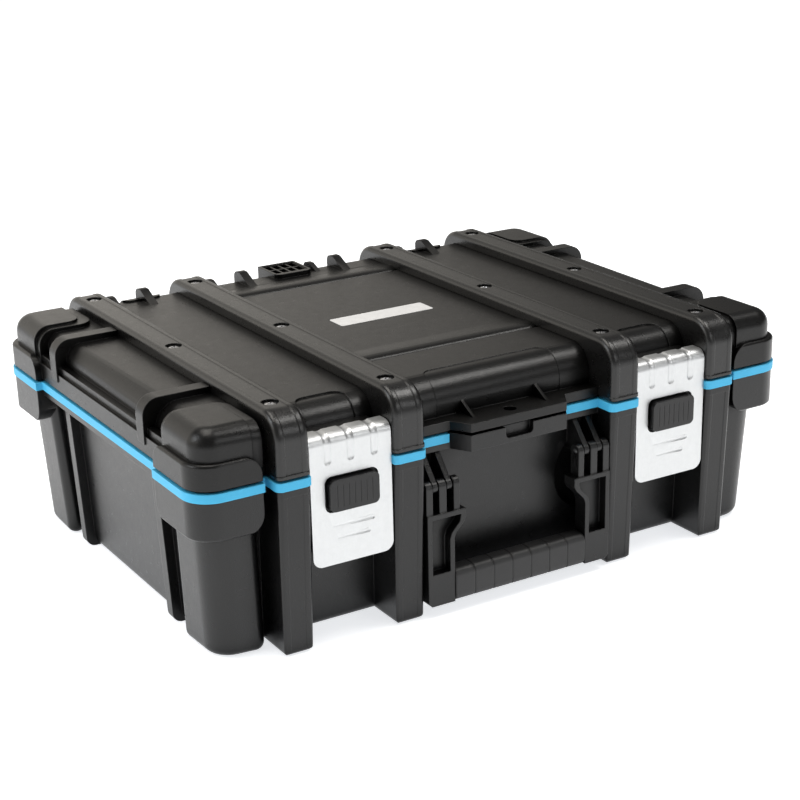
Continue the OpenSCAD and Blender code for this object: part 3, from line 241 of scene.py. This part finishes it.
def satinMetal(name, look):
    # satin sheet or bar stock: faint rolling lines, mottled sheen, small scuffs
    material, tree, shader, coords = newMaterial(name)
    lines = noise(tree, coords, *look["lineNoise"], look["lines"])
    mottle = noise(tree, coords, *look["mottle"])
    colour = ramp(tree, mottle, look["mottleBand"], look["dark"], look["light"])
    lineMask = spread(tree, lines, 0.0, look["lineShare"], *look["lineBand"])
    colour = mixColours(tree, lineMask, colour, look["lineTone"])
    tree.links.new(colour, shader.inputs["Base Color"])
    mottled = spread(tree, mottle, -look["roughSwing"], look["roughSwing"])
    lined = spread(tree, lines, look["rough"] - look["smoother"], look["rough"] + look["rougher"])
    tree.links.new(maths(tree, "ADD", mottled, lined), shader.inputs["Roughness"])
    shader.inputs["Metallic"].default_value = look["metallic"]
    shader.inputs["IOR"].default_value = look["ior"]
    bump(tree, shader, lines, look["lineStrength"], look["lineDepth"])
    return material


# lines gives the crowding of the rolling lines along X, Y and Z
latchLook = {"dark": (0.585, 0.595, 0.600), "light": (0.635, 0.645, 0.650), "lineTone": (0.52, 0.525, 0.53),
             "lineNoise": (1.0, 2.0, 0.6), "lines": (2600.0, 2600.0, 60.0), "lineShare": 0.12,
             "lineBand": (0.45, 0.8), "lineStrength": 0.15, "lineDepth": 0.1,
             "mottle": (120.0, 4.0, 0.65), "mottleBand": (0.35, 0.65),
             "rough": 0.40, "roughSwing": 0.05, "smoother": 0.03, "rougher": 0.05,
             "metallic": 0.92, "ior": 1.5}
labelLook = dict(latchLook, dark=(0.80, 0.80, 0.81), light=(0.88, 0.88, 0.88), lines=(50.0, 3200.0, 3200.0),
                 lineShare=0.25, rough=0.34, metallic=0.35)
steelLook = dict(latchLook, dark=(0.30, 0.30, 0.31), light=(0.42, 0.42, 0.43), lineTone=(0.22, 0.22, 0.23),
                 lines=(900.0, 900.0, 900.0), rough=0.33, metallic=1.0)
screwLook = dict(steelLook, dark=(0.42, 0.42, 0.43), light=(0.56, 0.56, 0.57), rough=0.24)
latchMetal = satinMetal("satinLatchMetal", latchLook)
labelMetal = satinMetal("satinLabelMetal", labelLook)
pinSteel = satinMetal("turnedPinSteel", steelLook)
screwSteel = satinMetal("zincScrewSteel", screwLook)
print("materials made:", len(bpy.data.materials))


def place(mesh, name, body, slot, material, *stoodFor):
    piece = bpy.data.objects.new(name, mesh)
    bpy.context.scene.collection.objects.link(piece)
    mesh.materials.clear()
    mesh.materials.append(material)
    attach(piece, body)
    if stoodFor:
        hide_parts(*stoodFor)
    return piece


def easedCopy(node, name, body, slot, material, look):
    # a merged copy of the solid: flat faces joined up, edges eased, shading kept crisp
    mesh = nodes[node].data.copy()
    mesh.name = name
    merged = bmesh.new()
    merged.from_mesh(mesh)
    bmesh.ops.remove_doubles(merged, verts=merged.verts, dist=look["weld"] * mm)
    for face in merged.faces:
        face.smooth = True
    merged.to_mesh(mesh)
    merged.free()
    if "custom_normal" in mesh.attributes:
        mesh.attributes.remove(mesh.attributes["custom_normal"])
    mesh.set_sharp_from_angle(angle=math.radians(look["sharp"]))
    piece = place(mesh, name, body, slot, material, node)
    if look["edge"]:
        bevel = piece.modifiers.new("easedEdges", "BEVEL")
        bevel.width = look["edge"] * mm
        bevel.segments = look["segments"]
        bevel.limit_method = "ANGLE"
        bevel.angle_limit = math.radians(look["sharp"])
        bevel.use_clamp_overlap = False
        bevel.miter_outer = "MITER_SHARP"
        bevel.harden_normals = True
    even = piece.modifiers.new("evenShading", "WEIGHTED_NORMAL")
    even.keep_sharp = True
    even.weight = look["evenness"]


# the shells carry their fillets already, so their edges are eased in the material alone
shellEdges = {"weld": 0.02, "edge": 0, "sharp": 32.0, "evenness": 100}
fineEdges = dict(shellEdges, edge=0.3, segments=2)
softEdges = dict(shellEdges, edge=0.5, segments=3)

easedCopy("base_shell", "baseShell", "base", "shell_plastic", shellPlastic, shellEdges)
easedCopy("lid_shell", "lidShell", "lid", "shell_plastic", lidPlastic, shellEdges)
easedCopy("seal_band", "sealBand", "base", "seal_rubber", sealBlue, softEdges)
easedCopy("handle_frame", "handleFrame", "handle", "shell_plastic", shellPlastic, softEdges)
for spot in ("outer_left", "inner_left", "inner_right", "outer_right"):
    easedCopy("lid_bar_" + spot, "lidBar." + spot, "lid", "bar_plastic", barPlastic, shellEdges)
for side in ("left", "right"):
    latch = "latch_" + side
    easedCopy("latch_carrier_" + side, "latchCarrier." + side, latch, "bar_plastic", barPlastic, fineEdges)
    easedCopy("latch_plate_" + side, "latchPlate." + side, latch, "latch_metal", latchMetal, shellEdges)
print("moulded shells, bars and latch plates eased")


def newShaper(name, *inputs):
    # an empty geometry tree with named inputs
    tree = bpy.data.node_groups.new(name, "GeometryNodeTree")
    tree.interface.new_socket(name="Geometry", in_out="INPUT", socket_type="NodeSocketGeometry")
    for label, kind in inputs:
        tree.interface.new_socket(name=label, in_out="INPUT", socket_type="NodeSocket" + kind)
    tree.interface.new_socket(name="Geometry", in_out="OUTPUT", socket_type="NodeSocketGeometry")
    given = tree.nodes.new("NodeGroupInput").outputs
    result = tree.nodes.new("NodeGroupOutput").inputs["Geometry"]
    return tree, given, result


def put(tree, kind, **links):
    # adds a node, then links or sets its inputs by name
    node = tree.nodes.new(kind)
    for label, value in links.items():
        socket = node.inputs[label.replace("_", " ")]
        if isinstance(value, bpy.types.NodeSocket):
            tree.links.new(value, socket)
        else:
            socket.default_value = value
    return node


def finishShaper(tree, geometry, material, result):
    realized = put(tree, "GeometryNodeRealizeInstances", Geometry=geometry)
    coated = put(tree, "GeometryNodeSetMaterial", Geometry=realized.outputs["Geometry"], Material=material)
    tree.links.new(coated.outputs["Geometry"], result)


def bakeShape(name, start, tree, values):
    # runs the tree on a start mesh and keeps the result as a plain mesh
    holder = bpy.data.objects.new(name + "Holder", start)
    bpy.context.scene.collection.objects.link(holder)
    shaper = holder.modifiers.new("shaper", "NODES")
    shaper.node_group = tree
    for socket in tree.interface.items_tree:
        if socket.in_out == "INPUT" and socket.name in values:
            shaper[socket.identifier] = values[socket.name]
    bpy.context.view_layer.update()
    mesh = bpy.data.meshes.new_from_object(holder.evaluated_get(bpy.context.evaluated_depsgraph_get()))
    mesh.name = name
    holder.modifiers.remove(shaper)
    bpy.data.objects.remove(holder)
    return mesh


def pointMesh(name, spots):
    mesh = bpy.data.meshes.new(name)
    mesh.from_pydata([Vector(spot) * mm for spot in spots], [], [])
    return mesh


def ringMesh(name, rings, turns, sharp):
    # closed skin over rings of points, each ring a function of the turn from 0 to 1
    mesh = bpy.data.meshes.new(name)
    points = []
    faces = []
    for ring in rings:
        points += [Vector(ring(step / turns)) * mm for step in range(turns)]
    for level in range(len(rings) - 1):
        for step in range(turns):
            a = level * turns + step
            b = level * turns + (step + 1) % turns
            faces.append((a, b, b + turns, a + turns))
    faces.append(tuple(reversed(range(turns))))
    faces.append(tuple(range((len(rings) - 1) * turns, len(rings) * turns)))
    mesh.from_pydata(points, [], faces)
    outward = bmesh.new()
    outward.from_mesh(mesh)
    bmesh.ops.recalc_face_normals(outward, faces=outward.faces)
    for face in outward.faces:
        face.smooth = len(face.verts) == 4
    outward.to_mesh(mesh)
    outward.free()
    mesh.set_sharp_from_angle(angle=math.radians(sharp))
    return mesh


# screws: one domed cross-slot head on its shank, set at each of the twelve places and turned at random
screw = {"headRadius": 4.2, "headHeight": 1.6, "dome": 0.55, "rim": 0.3, "headSteps": 22, "centreDot": 0.02,
         "slotHalf": 0.55, "slotReach": 2.5, "slotDepth": 0.9, "slotWall": 0.15, "slotEnd": 0.4,
         "shankRadius": 2.0, "length": 28.0, "tip": 1.2, "tipShare": 0.6,
         "turns": 72, "sharp": 38, "seed": 7,
         "barX": (-200.0, -101.6, 101.6, 200.0), "rowY": (-168.5, 0.0, 168.5), "seatZ": 191.5}


def screwRing(radius, height, slotted=False):
    def point(turn):
        angle = 2 * math.pi * turn
        x, y = radius * math.cos(angle), radius * math.sin(angle)
        z = height
        if slotted:
            z = screw["headHeight"] - screw["dome"] * (radius / screw["headRadius"]) ** 2
            across = (screw["slotHalf"] - min(abs(x), abs(y))) / screw["slotWall"]
            along = (screw["slotReach"] - max(abs(x), abs(y))) / screw["slotEnd"]
            z -= screw["slotDepth"] * min(max(across, 0), 1) * min(max(along, 0), 1)
        return x, y, z
    return point


# from the tip up the shank, out under the head, up its rim, then inward over the slotted dome
screwRings = [screwRing(screw["shankRadius"] * screw["tipShare"], -screw["length"]),
              screwRing(screw["shankRadius"], screw["tip"] - screw["length"]),
              screwRing(screw["shankRadius"], 0), screwRing(screw["headRadius"], 0),
              screwRing(screw["headRadius"], screw["headHeight"] - screw["dome"] - screw["rim"])]
for step in range(screw["headSteps"]):
    share = 1 - step / screw["headSteps"]
    screwRings.append(screwRing(screw["headRadius"] * share - screw["centreDot"], 0, True))
screwMesh = ringMesh("screwForm", screwRings, screw["turns"], screw["sharp"])
screwForm = bpy.data.objects.new("screwForm", screwMesh)

tree, given, result = newShaper("screwSetter", ("Screw", "Object"), ("Seed", "Int"))
form = put(tree, "GeometryNodeObjectInfo", Object=given["Screw"])
chance = tree.nodes.new("FunctionNodeRandomValue")
chance.data_type = "FLOAT_VECTOR"
chance.inputs["Min"].default_value = (0, 0, 0)
chance.inputs["Max"].default_value = (0, 0, math.pi / 2)  # a cross slot repeats after a quarter turn
tree.links.new(given["Seed"], chance.inputs["Seed"])
dots = put(tree, "GeometryNodeMeshToPoints", Mesh=given["Geometry"])
copies = put(tree, "GeometryNodeInstanceOnPoints", Points=dots.outputs["Points"],
             Instance=form.outputs["Geometry"], Rotation=chance.outputs["Value"])
finishShaper(tree, copies.outputs["Instances"], screwSteel, result)
screwSpots = pointMesh("screwSpots", [(x, y, screw["seatZ"]) for x in screw["barX"] for y in screw["rowY"]])
barScrews = bakeShape("barScrews", screwSpots, tree, {"Screw": screwForm, "Seed": screw["seed"]})
bpy.data.objects.remove(screwForm)
place(barScrews, "barScrews", "lid", "pin_steel", screwSteel, "bar_screws")
print("twelve bar screws set")


# grip: one soft sleeve along the lower bar of the handle, necked in between its segments
grip = {"length": 125.2, "centreY": -194.2, "centreZ": 23.5, "depth": 18.0, "height": 27.0,
        "corner": 6.0, "cornerSteps": 10, "segments": 7, "stepsPerSegment": 34,
        "neck": 0.09, "neckPower": 3.0, "rounding": 0.085,
        "endShare": 0.99999}  # just under 1, so that the last ring stays in the last segment

sizes = [(label, "Float") for label in ("Length", "Depth", "Height", "Corner", "Neck", "Rounding")]
tree, given, result = newShaper("gripSleeve", *sizes, ("Segments", "Int"), ("Steps", "Int"))
endPoint = put(tree, "ShaderNodeCombineXYZ", X=given["Length"])
line = put(tree, "GeometryNodeCurvePrimitiveLine", End=endPoint.outputs["Vector"])
count = maths(tree, "ADD", maths(tree, "MULTIPLY", given["Segments"], given["Steps"]), 1.0)
fine = put(tree, "GeometryNodeResampleCurve", Curve=line.outputs["Curve"], Count=count)
along = tree.nodes.new("GeometryNodeSplineParameter").outputs["Factor"]
inSegments = maths(tree, "MULTIPLY", along, given["Segments"])
inSegment = maths(tree, "FRACT", maths(tree, "MULTIPLY", inSegments, grip["endShare"]))
toEdge = maths(tree, "MINIMUM", inSegment, maths(tree, "SUBTRACT", 1.0, inSegment))
away = maths(tree, "MINIMUM", maths(tree, "DIVIDE", toEdge, given["Rounding"]), 1.0)
near = maths(tree, "SUBTRACT", 1.0, away)
fullness = maths(tree, "SQRT", maths(tree, "SUBTRACT", 1.0, maths(tree, "POWER", near, grip["neckPower"])))
dip = maths(tree, "SUBTRACT", 1.0, fullness)
girth = maths(tree, "SUBTRACT", 1.0, maths(tree, "MULTIPLY", dip, given["Neck"]))
section = put(tree, "GeometryNodeCurvePrimitiveQuadrilateral", Width=given["Depth"], Height=given["Height"])
eased = tree.nodes.new("GeometryNodeFilletCurve")
eased.mode = "POLY"
tree.links.new(section.outputs["Curve"], eased.inputs["Curve"])
tree.links.new(given["Corner"], eased.inputs["Radius"])
eased.inputs["Count"].default_value = grip["cornerSteps"]
sleeve = put(tree, "GeometryNodeCurveToMesh", Curve=fine.outputs["Curve"],
             Profile_Curve=eased.outputs["Curve"], Scale=girth, Fill_Caps=True)
finishShaper(tree, sleeve.outputs["Mesh"], gripRubber, result)
gripMesh = bakeShape("handleGrip", bpy.data.meshes.new("gripStart"), tree, {
    "Length": grip["length"] * mm, "Depth": grip["depth"] * mm, "Height": grip["height"] * mm,
    "Corner": grip["corner"] * mm, "Segments": grip["segments"], "Neck": grip["neck"],
    "Rounding": grip["rounding"], "Steps": grip["stepsPerSegment"]})
gripMesh.transform(Matrix.Translation(Vector((-grip["length"] / 2, grip["centreY"], grip["centreZ"])) * mm))
place(gripMesh, "handleGrip", "handle", "grip_rubber", gripRubber, "handle_grip")
print("grip sleeve made")


# solids kept as they are get their finish
finishes = {"pin_steel": pinSteel, "label_metal": labelMetal, "button_plastic": buttonPlastic}
for name, solid in nodes.items():
    if not solid.hide_render:
        for holder in solid.material_slots:
            holder.material = finishes[holder.material.name.split(".")[0]]
print("carried-over solids finished")


# floor, light and camera, in metres
studio = {"floorSize": 400.0, "floorTone": (0.87, 0.875, 0.88), "floorPale": (0.89, 0.89, 0.89),
          "clouds": (1.5, 3.0), "cloudBand": (0.3, 0.7),
          "floorRough": 0.8, "floorShine": 0.1, "floorGlow": 0.74, "glowTone": (0.95, 0.97, 1.0),
          "bright": (1.25, 1.19, 1.09), "dim": (0.09, 0.088, 0.085),
          "overhead": (0.22, 0.22, 0.22), "backdrop": (1.0, 1.0, 1.0), "strength": 1.0,
          "sideFall": (0.30, 0.64), "upFall": (0.34, 0.72), "frontFall": (0.0, -0.45)}

floorMesh = bpy.data.meshes.new("studioFloor")
half = studio["floorSize"] / 2
corners = [(-half, -half, 0), (half, -half, 0), (half, half, 0), (-half, half, 0)]
floorMesh.from_pydata(corners, [], [(0, 1, 2, 3)])
floor = bpy.data.objects.new("studioFloor", floorMesh)
bpy.context.scene.collection.objects.link(floor)
floorPaint, floorTree, floorShader, floorCoords = newMaterial("paleFloor")
floorClouds = noise(floorTree, floorCoords, *studio["clouds"])
floorTone = ramp(floorTree, floorClouds, studio["cloudBand"], studio["floorTone"], studio["floorPale"])
floorTree.links.new(floorTone, floorShader.inputs["Base Color"])
floorShader.inputs["Roughness"].default_value = studio["floorRough"]
floorShader.inputs["Specular IOR Level"].default_value = studio["floorShine"]
floorShader.inputs["Emission Color"].default_value = (*studio["glowTone"], 1)
floorShader.inputs["Emission Strength"].default_value = studio["floorGlow"]
floorMesh.materials.append(floorPaint)

# the room is bright low down behind and to the left, and dark to the right, overhead and in front
world = bpy.data.worlds.new("softStudio")
bpy.context.scene.world = world
world.use_nodes = True
room = world.node_tree
direction = room.nodes.new("ShaderNodeTexCoord").outputs["Generated"]
parts = room.nodes.new("ShaderNodeSeparateXYZ")
room.links.new(direction, parts.inputs["Vector"])
sideFall = spread(room, parts.outputs["X"], 0.0, 1.0, *studio["sideFall"])
upFall = spread(room, parts.outputs["Z"], 0.0, 1.0, *studio["upFall"])
frontFall = spread(room, parts.outputs["Y"], 0.0, 1.0, *studio["frontFall"])
roomTone = mixColours(room, sideFall, studio["bright"], studio["dim"])
roomTone = mixColours(room, maths(room, "MAXIMUM", upFall, frontFall), roomTone, studio["overhead"])

# past the floor the background itself is plain white, whatever the room lights
straight = room.nodes.new("ShaderNodeLightPath").outputs["Is Camera Ray"]
roomTone = mixColours(room, straight, roomTone, studio["backdrop"])
room.links.new(roomTone, room.nodes["Background"].inputs["Color"])
room.nodes["Background"].inputs["Strength"].default_value = studio["strength"]
bpy.context.scene.view_settings.view_transform = "Standard"


softboxes = {
    "topSoftbox": {"spot": (-0.2, 0.1, 2.1), "target": (0, 0, 0.15), "size": (1.6, 1.0), "power": 22,
                   "tone": (1.0, 0.96, 0.90)},
    "edgeSoftbox": {"spot": (0.9, -0.5, 1.8), "target": (0, 0, 0.15), "size": (0.9, 0.5), "power": 12,
                    "tone": (1.0, 0.98, 0.95)},
    "leftSoftbox": {"spot": (-2.0, 0.3, 1.5), "target": (0, 0, 0.1), "size": (1.1, 1.1), "power": 16,
                    "tone": (0.92, 0.96, 1.0)},
    "frontFill": {"spot": (0.9, -2.4, 1.3), "target": (0, 0, 0.1), "size": (1.2, 0.8), "power": 8,
                  "tone": (1.0, 1.0, 1.0)},
}
for name, box in softboxes.items():
    light = bpy.data.lights.new(name, "AREA")
    light.shape = "RECTANGLE"
    light.size, light.size_y = box["size"]
    light.energy = box["power"]
    light.color = box["tone"]
    lamp = bpy.data.objects.new(name, light)
    bpy.context.scene.collection.objects.link(lamp)
    lamp.location = box["spot"]
    lamp.rotation_euler = (Vector(box["target"]) - Vector(box["spot"])).to_track_quat("-Z", "Y").to_euler()

cameraSetup = {"lens": 79.62, "sensorWidth": 36, "shift": (0.0369, 0.0614), "clip": (0.05, 50),
               "spot": (-0.7446, -1.2623, 0.6157), "right": (0.86142349, -0.50706949, -0.02881134),
               "up": (0.20259692, 0.29105055, 0.9350102), "back": (-0.46572959, -0.81127684, 0.3534485)}
cameraData = bpy.data.cameras.new("studioCamera")
cameraData.lens = cameraSetup["lens"]
cameraData.sensor_width = cameraSetup["sensorWidth"]
cameraData.shift_x, cameraData.shift_y = cameraSetup["shift"]
cameraData.clip_start, cameraData.clip_end = cameraSetup["clip"]
camera = bpy.data.objects.new("studioCamera", cameraData)
bpy.context.scene.collection.objects.link(camera)
columns = [(*cameraSetup[axis], 0) for axis in ("right", "up", "back")] + [(*cameraSetup["spot"], 1)]
camera.matrix_world = Matrix(columns).transposed()
bpy.context.scene.camera = camera
print("studio and camera set")
